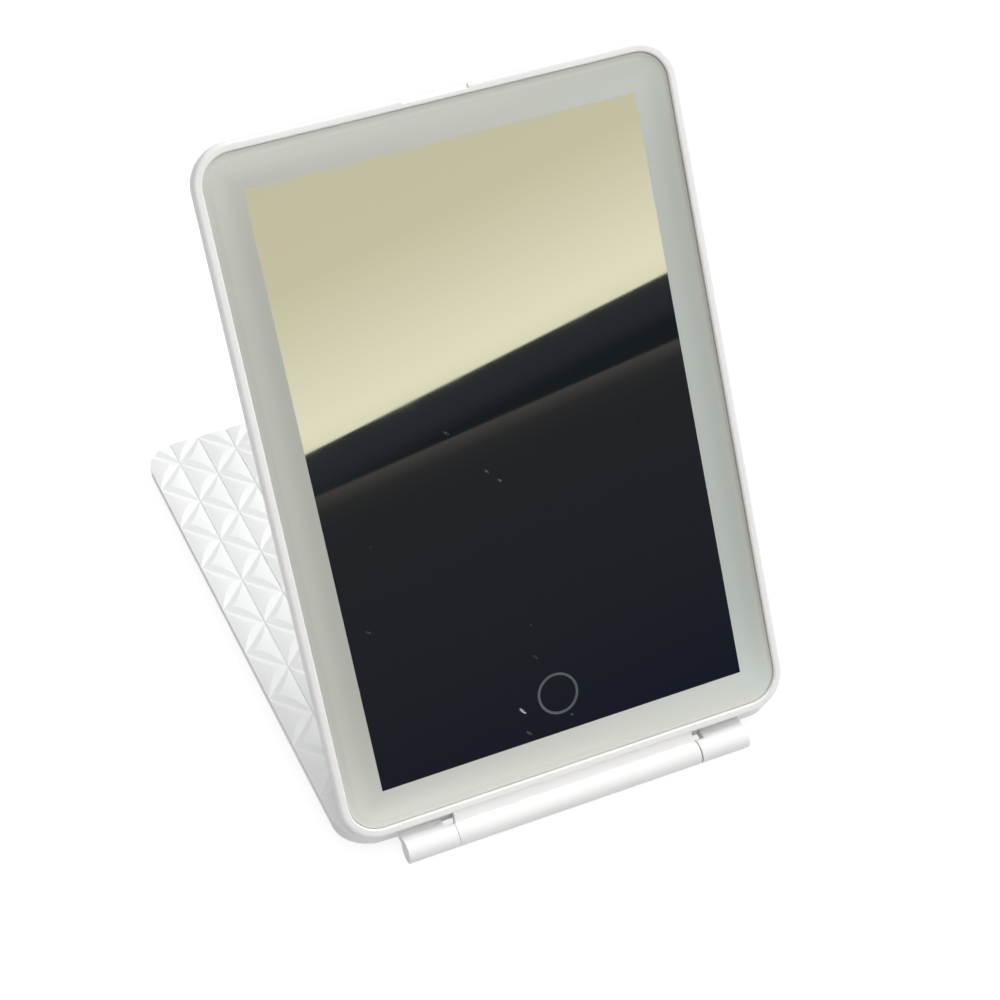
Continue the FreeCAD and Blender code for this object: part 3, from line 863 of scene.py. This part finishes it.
@dataclass
class MirrorPanel:
    """Leaning panel: white frame and rear shell, with the silvered pane set in the frame."""

    leaf: Leaf
    width: float = 145.0
    length: float = 208.0
    corner: float = 12.0
    pane_width: float = 139.4
    pane_length: float = 202.4
    pane_corner: float = 9.2
    pane_corner_steps: int = 14
    pane_front: float = -0.8
    pane_thick: float = 2.0
    pane_middle: float = 110.702
    bevel_width: float = 2.2
    bevel_drop: float = 0.35
    silver_half: float = 58.8
    silver_low: float = 20.40
    silver_high: float = 201.0
    ring_radius: float = 6.5
    ring_stroke: float = 0.8
    ring_thick: float = 0.1
    ring_proud: float = 0.02
    ring_steps: int = 96
    ring_y: float = 32.5
    groove: Range = (-3.9, -3.3)
    groove_depth: float = 0.8
    flecks: tuple[Fleck, ...] = (
        Fleck(-7.6, 105.0, -52.0, 1.0, 0.36, 0.1),
        Fleck(-4.3, 101.4, -40.0, 0.9, 0.32, 0.14),
        Fleck(-17.1, 119.4, -45.0, 1.1, 0.4, 0.06),
        Fleck(-11.9, 30.7, -52.0, 1.6, 0.42, 0.45),
        Fleck(-52.4, 68.8, -35.0, 0.9, 0.34, 0.05),
        Fleck(-4.7, 45.9, -45.0, 1.0, 0.36, 0.05),
        Fleck(-11.1, 23.1, -45.0, 1.3, 0.4, 0.09),
        Fleck(2.9, 24.7, 0.0, 0.45, 0.4, 0.1),
    )

    @property
    def pane_back(self) -> float:
        """Height of the pane's back."""
        return self.pane_front - self.pane_thick

    def in_window(self, point: Vector) -> bool:
        """True inside the silver's outline."""
        return abs(point.x) < self.silver_half and self.silver_low < point.y < self.silver_high

    def frosted_shape(self) -> Shape:
        """The pane's ground border: a rounded slab with a polished bevel and a square window for the silver.

        Returns:
            The shape in leaf millimetres.
        """
        shape = rectangle(self.pane_width, self.pane_length)
        bmesh.ops.bevel(
            shape, geom=shape.verts[:], offset=self.pane_corner, affect="VERTICES",
            segments=self.pane_corner_steps, profile=0.5, material=-1,
        )
        bmesh.ops.translate(shape, vec=(0, self.pane_middle, self.pane_back), verts=shape.verts)
        top = thicken(shape, self.pane_thick - self.bevel_drop)
        bmesh.ops.inset_region(
            shape, faces=top, thickness=self.bevel_width, depth=self.bevel_drop, use_even_offset=True
        )
        for point, normal in (
            ((self.silver_half, 0, 0), (1, 0, 0)),
            ((-self.silver_half, 0, 0), (1, 0, 0)),
            ((0, self.silver_low, 0), (0, 1, 0)),
            ((0, self.silver_high, 0), (0, 1, 0)),
        ):
            everything = shape.verts[:] + shape.edges[:] + shape.faces[:]
            bmesh.ops.bisect_plane(shape, geom=everything, dist=MERGE, plane_co=point, plane_no=normal)
        level = [f for f in shape.faces if abs(f.normal.z) > LEVEL]
        middle = [f for f in level if self.in_window(f.calc_center_median())]
        bmesh.ops.delete(shape, geom=middle, context="FACES")
        bmesh.ops.bridge_loops(shape, edges=[e for e in shape.edges if e.is_boundary])
        bmesh.ops.recalc_face_normals(shape, faces=shape.faces)
        return shape

    def silver_shape(self) -> Shape:
        """The silvered middle of the pane, level with the ground border.

        Returns:
            The shape in leaf millimetres.
        """
        length = self.silver_high - self.silver_low
        shape = rectangle(2 * self.silver_half, length)
        bmesh.ops.translate(shape, vec=(0, self.silver_low + length / 2, self.pane_back), verts=shape.verts)
        thicken(shape, self.pane_thick)
        return shape

    def ring_shape(self) -> Shape:
        """The touch mark: a fine flat ring.

        Returns:
            The shape in leaf millimetres.
        """
        shape = rectangle(self.ring_stroke, self.ring_thick)
        upright = Matrix.Rotation(math.pi / 2, 3, "X")
        bmesh.ops.rotate(shape, cent=(0, 0, 0), matrix=upright, verts=shape.verts)
        lift = self.pane_front + self.ring_proud - self.ring_thick / 2
        bmesh.ops.translate(shape, vec=(self.ring_radius - self.ring_stroke / 2, 0, lift), verts=shape.verts)
        bmesh.ops.delete(shape, geom=shape.faces[:], context="FACES_ONLY")
        bmesh.ops.spin(
            shape, geom=shape.verts[:] + shape.edges[:], cent=(0, 0, 0), axis=(0, 0, 1),
            angle=2 * math.pi, steps=self.ring_steps, use_merge=True,
        )
        bmesh.ops.remove_doubles(shape, verts=shape.verts, dist=MERGE)
        bmesh.ops.recalc_face_normals(shape, faces=shape.faces)
        bmesh.ops.translate(shape, vec=(0, self.ring_y, 0), verts=shape.verts)
        return shape

    def inside(self, point: Vector) -> float:
        """How far a point lies inside the leaf's outline.

        Args:
            point: the point in leaf millimetres.

        Returns:
            The distance, less than 0 outside.
        """
        x = abs(point.x) - self.width / 2 + self.corner
        y = abs(point.y - self.pane_middle) - self.length / 2 + self.corner
        return self.corner - math.hypot(max(x, 0.0), max(y, 0.0)) - min(max(x, y), 0.0)

    def grooved_shell(self) -> Shape:
        """The rear shell with the shadow groove that marks its seam with the frame.

        Returns:
            The shape in leaf millimetres.
        """
        shape = self.leaf.copy_of("panel_back")
        low, high = self.groove
        skin = self.groove_depth / 2
        for level in (low, high):
            side = [f for f in shape.faces if all(self.inside(v.co) < skin for v in f.verts)]
            cut_across(shape, side, 2, level)
        band = [f for f in shape.faces if low < f.calc_center_median().z < high]
        band = [f for f in band if self.inside(f.calc_center_median()) < skin]
        bmesh.ops.inset_region(shape, faces=band, depth=-self.groove_depth, use_even_offset=True)
        soften(shape)
        return shape

    def build(self, wardrobe: Wardrobe) -> None:
        """Makes the pane's pieces and the grooved rear shell, and dresses the frame.

        Args:
            wardrobe: the finishes.
        """
        frost = FrostedGlass(
            "frosted border",
            # the rim tone is lighter than the silver-side second tone: painted light
            tone=srgb(190, 191, 183),
            second=srgb(186, 189, 181),
            bevel=srgb(190, 191, 184),
            # the darker, cooler right side: painted shade
            painted_right_shade=srgb(183, 190, 185),
            half_width=self.pane_width / 2,
            half_length=self.pane_length / 2,
            border=self.pane_width / 2 - self.silver_half,
            bevel_width=self.bevel_width,
            centre=self.leaf.point(0, self.pane_middle, self.pane_front),
            turn=self.leaf.turn,
        )
        silver = SilverMirror(
            "silvered glass",
            tone=srgb(242, 245, 243),
            second=srgb(140, 143, 147),
            centre=self.leaf.point(0, 0, 0),
            turn=self.leaf.turn,
            flecks=self.flecks,
        )
        add, dyed = self.leaf.add_piece, wardrobe.material
        border = add("frosted_border", self.frosted_shape(), Slot.PANE, dyed(frost))
        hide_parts("mirror_glass")
        face = add("mirror_face", self.silver_shape(), Slot.SILVER, dyed(silver))
        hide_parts("silver_coating")
        mark = add("touch_ring", self.ring_shape(), Slot.TOUCH_FILM, dyed(RING_FILM))
        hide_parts("touch_window")
        shell = add("rear_shell", self.grooved_shell(), Slot.WHITE_PLASTIC, dyed(WHITE_PLASTIC))
        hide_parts("panel_back")
        wardrobe.dress(WHITE_PLASTIC, "panel_frame")


@dataclass
class Cover:
    """Embossed cover that lies as the base, with its lining and foot pads."""

    leaf: Leaf
    width: float = 145.0
    ribs: int = 14
    relief_near: float = 17.6
    relief_low: float = 2.9
    relief_crease: float = math.radians(9.0)
    valley_top: float = 3.5
    score_level: float = 2.9
    score_half: float = 0.26

    def in_relief(self, point: Vector) -> bool:
        """True on the patterned part of the outer side."""
        return point.y > self.relief_near and point.z > self.relief_low

    def scored_shape(self) -> Shape:
        """The cover shell with a fine line scored in each valley between two ribs.

        Returns:
            The shape in leaf millimetres.
        """
        shape = self.leaf.copy_of("cover_shell")
        pitch = self.width / self.ribs
        for index in range(1, self.ribs):
            valley = index * pitch - self.width / 2
            for cut in (valley - self.score_half, valley, valley + self.score_half):
                upper = [f for f in shape.faces if f.normal.z > FACING]
                cut_across(shape, [f for f in upper if self.in_relief(f.calc_center_median())], 0, cut)
            floor = [v for v in shape.verts if abs(v.co.x - valley) < MERGE and v.co.z < self.valley_top]
            for vert in floor:
                if self.in_relief(vert.co):
                    vert.co.z = self.score_level
        bmesh.ops.remove_doubles(shape, verts=shape.verts, dist=MERGE)
        soften(shape)
        for edge in shape.edges:
            if edge.smooth and all(self.in_relief(v.co) for v in edge.verts):
                edge.smooth = edge.calc_face_angle(math.pi) < self.relief_crease
        return shape

    def build(self, wardrobe: Wardrobe) -> None:
        """Makes the scored cover and dresses the cover's nodes.

        Args:
            wardrobe: the finishes.
        """
        plastic = wardrobe.material(COVER_PLASTIC)
        cover = self.leaf.add_piece("embossed_cover", self.scored_shape(), Slot.WHITE_PLASTIC, plastic)
        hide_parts("cover_shell")
        wardrobe.dress(LINING, "cover_liner")
        wardrobe.dress(TAPE, "liner_tape")
        wardrobe.dress(PAD_RUBBER, "foot_pads")
        wardrobe.dress(NICKEL, "cover_magnets")


@dataclass
class Hinge:
    """Pins, sleeves and end caps of the barrel hinge."""

    sides: tuple[str, str] = ("left", "right")

    def build(self, wardrobe: Wardrobe) -> None:
        """Dresses the hinge's nodes.

        Args:
            wardrobe: the finishes.
        """
        for side in self.sides:
            wardrobe.dress(WHITE_PLASTIC, f"knuckle_cap_{side}")
            wardrobe.dress(PIN_STEEL, f"hinge_pin_{side}")
            wardrobe.dress(SLEEVE_BRONZE, f"friction_sleeve_{side}")


@dataclass
class Insides:
    """Light, control board, cell and wiring inside the panel."""

    strips: tuple[str, ...] = ("top", "bottom", "left", "right")

    def build(self, wardrobe: Wardrobe) -> None:
        """Dresses the nodes inside the panel.

        Args:
            wardrobe: the finishes.
        """
        low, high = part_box("battery_leads")
        middle = (low.x + high.x) / 2 / MM
        leads = StripedLead("twin lead", srgb(168, 24, 26), srgb(26, 26, 28), middle=middle)
        table: list[tuple[Finish, tuple[str, ...]]] = [
            (TAPE, ("glass_tape", "battery_pad")),
            (MILKY_GUIDE, ("light_diffuser",)),
            (TRAY_PLASTIC, ("led_tray",)),
            (WHITE_BOARD, tuple(f"led_strip_{side}" for side in self.strips)),
            (PHOSPHOR, ("leds",)),
            (RIBBON_FILM, ("led_ribbon",)),
            (GREEN_BOARD, ("control_board",)),
            (CHIP_RESIN, ("board_chips",)),
            (PIN_STEEL, ("board_screws", "usb_socket")),
            (DARK_FOAM, ("touch_pad",)),
            (CLEAR_PIPE, ("charge_light",)),
            (POUCH, ("battery",)),
            (PLUG_PLASTIC, ("battery_plug",)),
            (leads, ("battery_leads",)),
            (NICKEL, ("panel_magnets",)),
        ]
        for finish, nodes in table:
            wardrobe.dress(finish, *nodes)


# The studio, with its sizes in metres


@dataclass(frozen=True)
class Card:
    """A glowing card that only gloss and the mirror show, with tones that change away from a line across it:
    a painted reflection of the lit room.

    The line is given by X and Z of two of its points, and each tone by its share of the span.
    """

    name: str
    y: float
    line: tuple[Spot, Spot]
    span: float
    tones: tuple[tuple[float, Colour], ...]

    @property
    def slope(self) -> float:
        """Rise of the line along X."""
        (x, z), (far_x, far_z) = self.line
        return (far_z - z) / (far_x - x)

    def shade(self, g: Graph) -> Socket:
        """Colour by the distance from the line.

        Args:
            g: the card's graph.

        Returns:
            The colour's socket.
        """
        x, z = self.line[0]
        at = g.split(g.add("ShaderNodeTexCoord").outputs["Object"])
        line = g.maths("ADD", g.maths("MULTIPLY", at[0], self.slope), z - self.slope * x)
        away = g.maths("ABSOLUTE", g.maths("SUBTRACT", at[2], line))
        ramp = g.add("ShaderNodeValToRGB", {0: g.maths("DIVIDE", away, self.span)})
        marks = ramp.color_ramp.elements
        marks.remove(marks[1])
        marks[0].position, marks[0].color = self.tones[0]
        for share, colour in self.tones[1:]:
            marks.new(share).color = colour
        return ramp.outputs[0]

    def below(self, reach: float) -> tuple[Spot, ...]:
        """Outline of a low card whose upper edge is the line.

        Args:
            reach: how far it reaches to each side.

        Returns:
            X and Z of its corners.
        """
        x, z = self.line[0]
        left, right = ((end, z + self.slope * (end - x)) for end in (-reach, reach))
        foot = left[1] - reach / 4
        return ((left[0], foot), (right[0], foot), right, left)

    def build(self, corners: tuple[Spot, ...]) -> None:
        """Puts the card up.

        Args:
            corners: its outline as X and Z.
        """
        shape = bmesh.new()
        shape.faces.new([shape.verts.new((x, self.y, z)) for x, z in corners])
        material, g = bare_material(self.name)
        # the card glows with its painted tones; it is no lamp
        glow = g.add("ShaderNodeEmission", {"Color": self.shade(g), "Strength": 1.0})
        g.add("ShaderNodeOutputMaterial", {"Surface": glow.outputs[0]})
        card = place_mesh(self.name, shape, material)
        card.visible_camera = card.visible_diffuse = card.visible_shadow = card.visible_transmission = False


@dataclass(frozen=True)
class Lamp:
    """A square soft lamp: where it hangs, the square's side, its watts and its colour."""

    name: str
    place: Triple
    side: float
    power: float
    colour: Triple = (1.0, 1.0, 1.0)

    def build(self, aim: Vector) -> None:
        """Hangs the lamp where gloss and the mirror don't show it.

        Args:
            aim: the point that it is turned to.
        """
        data = bpy.data.lights.new(self.name, "AREA")
        data.shape = "SQUARE"
        data.size = self.side
        data.energy = self.power
        data.color = self.colour
        lamp = bpy.data.objects.new(self.name, data)
        lamp.location = self.place
        lamp.rotation_mode = "QUATERNION"
        lamp.rotation_quaternion = (aim - Vector(self.place)).to_track_quat("-Z", "Y")
        lamp.visible_glossy = False
        bpy.context.scene.collection.objects.link(lamp)


KEY_LAMP = Lamp("key_lamp", (1.25, 0.12, 1.55), side=0.9, power=25.0, colour=(1.0, 0.995, 0.985))
FRONT_LAMP = Lamp("front_lamp", (-0.35, -1.45, 1.5), side=1.5, power=14.5)
# painted reflection: a pale wall, lighter along the line across it
WALL_CARD = Card(
    "wall_card", y=-1.9, line=((0.3607, 0.4654), (0.8009, 0.5525)), span=0.3,
    tones=((0.0, srgb(234, 228, 200)), (0.5, srgb(206, 199, 169)), (1.0, srgb(203, 197, 168))),
)
DARK_CARD = Card(
    "dark_card", y=-1.2, line=((0.1933, 0.3181), (0.5239, 0.38)), span=0.06,
    tones=((0.0, srgb(44, 45, 50)), (0.4, srgb(38, 41, 46)), (0.6, srgb(26, 30, 34))),
)
FRONT_CARD = Card(
    "dark_card_front", y=-1.19, line=((0.1941, 0.2837), (0.5236, 0.3255)), span=0.26,
    tones=(
        # the first tones are a painted highlight along the fold of the front card
        (0.0, srgb(69, 67, 64)),
        (0.02, srgb(61, 58, 55)),
        (0.05, srgb(43, 43, 44)),
        (0.11, srgb(37, 38, 42)),
        (0.6, srgb(34, 35, 41)),
        (1.0, srgb(26, 29, 40)),
    ),
)


@dataclass
class Studio:
    """Pale floor, soft lamps, cards for the mirror to show, and the camera."""

    camera_place: Triple = (-0.205278, -0.573095, 0.550199)
    azimuth: float = -23.2836
    elevation: float = 40.1544
    roll: float = -1.3471
    lens: float = 88.5071
    shift: float = -0.06
    clip: Range = (0.01, 30.0)
    ambient: float = 0.55
    ambient_fall: float = 0.6
    floor_side: float = 12.0
    floor_bounce: float = 0.5
    floor_seen: float = 0.35
    floor_glow: float = 0.8
    lamps: tuple[Lamp, ...] = (KEY_LAMP, FRONT_LAMP)
    lamp_aim: float = 0.08
    wall_half: float = 4.8
    wall_height: float = 2.6
    card_reach: float = 2.4

    def camera(self) -> None:
        """Makes the camera at the photograph's viewing angle."""
        data = bpy.data.cameras.new("camera")
        data.lens = self.lens
        data.shift_x = self.shift
        data.clip_start, data.clip_end = self.clip
        camera = bpy.data.objects.new("camera", data)
        bpy.context.scene.collection.objects.link(camera)
        around, above, roll = (math.radians(v) for v in (self.azimuth, self.elevation, self.roll))
        level = math.cos(above)
        back = Vector((math.sin(around) * level, -math.cos(around) * level, math.sin(above)))
        right = Vector((math.cos(around), math.sin(around), 0.0))
        rolled = right * math.cos(roll) + back.cross(right) * math.sin(roll)
        axes = Matrix((rolled, back.cross(rolled), back)).transposed()
        camera.matrix_world = Matrix.Translation(self.camera_place) @ axes.to_4x4()
        bpy.context.scene.camera = camera

    def floor(self) -> None:
        """Pale floor, open from below so that the underside can be looked at."""
        material, g = bare_material("studio floor")
        path = g.add("ShaderNodeLightPath").outputs
        seen = g.maths("MAXIMUM", path["Is Camera Ray"], path["Is Glossy Ray"])
        tone = g.blend(seen, grey(self.floor_bounce), grey(self.floor_seen))
        matt = g.add("ShaderNodeBsdfDiffuse", {"Color": tone})
        strength = g.maths("MULTIPLY", seen, self.floor_glow)
        glow = g.add("ShaderNodeEmission", {"Color": grey(1.0), "Strength": strength})
        lit = g.add("ShaderNodeAddShader", {0: matt.outputs[0], 1: glow.outputs[0]})
        behind = g.add("ShaderNodeNewGeometry").outputs["Backfacing"]
        clear = g.add("ShaderNodeBsdfTransparent")
        both = g.add("ShaderNodeMixShader", {0: behind, 1: lit.outputs[0], 2: clear.outputs[0]})
        g.add("ShaderNodeOutputMaterial", {"Surface": both.outputs[0]})
        floor = place_mesh("floor", rectangle(self.floor_side, self.floor_side), material)

    def world(self) -> None:
        """White behind everything the camera, gloss and glass see, and a soft level for the rest."""
        world = bpy.data.worlds.new("studio")
        bpy.context.scene.world = world
        world.use_nodes = True
        world.node_tree.nodes.clear()
        g = Graph(world.node_tree)
        path = g.add("ShaderNodeLightPath").outputs
        seen = g.maths("MAXIMUM", path["Is Camera Ray"], path["Is Glossy Ray"])
        seen = g.maths("MAXIMUM", seen, path["Is Transmission Ray"])
        across = g.split(g.add("ShaderNodeTexCoord").outputs["Generated"])[0]
        left = g.maths("MULTIPLY", g.maths("MINIMUM", across, 0.0), self.ambient_fall)
        soft = g.maths("MULTIPLY", g.maths("ADD", left, 1.0), self.ambient)
        level = g.add("ShaderNodeMapRange", {"Value": seen, "To Min": soft, "To Max": 1.0}).outputs[0]
        sky = g.add("ShaderNodeBackground", {"Color": grey(1.0), "Strength": level})
        g.add("ShaderNodeOutputWorld", {"Surface": sky.outputs[0]})

    def build(self) -> None:
        """Sets the stage."""
        bpy.context.scene.view_settings.view_transform = "Standard"
        self.world()
        self.floor()
        for lamp in self.lamps:
            lamp.build(Vector((0, 0, self.lamp_aim)))
        side, top = self.wall_half, self.wall_height
        WALL_CARD.build(((-side, 0.0), (side, 0.0), (side, top), (-side, top)))
        for card in (DARK_CARD, FRONT_CARD):
            card.build(card.below(self.card_reach))
        self.camera()


def main() -> None:
    """Builds the looks and the studio."""
    logging.basicConfig(level=logging.INFO, format="%(message)s")
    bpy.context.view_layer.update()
    axis = Vector(frame["joints"][0]["pos_m"])
    panel_leaf = Leaf.of_node(Body.PANEL, axis, "silver_coating", Vector((0, -1, 0)))
    cover_leaf = Leaf.of_node(Body.COVER, axis, "cover_liner", Vector((0, 0, 1)))
    turns = (math.degrees(panel_leaf.turn), math.degrees(cover_leaf.turn))
    LOG.info("panel leans %.3f degrees, cover %.3f", *turns)
    wardrobe = Wardrobe(Effects())
    MirrorPanel(panel_leaf).build(wardrobe)
    Cover(cover_leaf).build(wardrobe)
    Hinge().build(wardrobe)
    Insides().build(wardrobe)
    Studio().build()


if __name__ == "__main__":
    main()
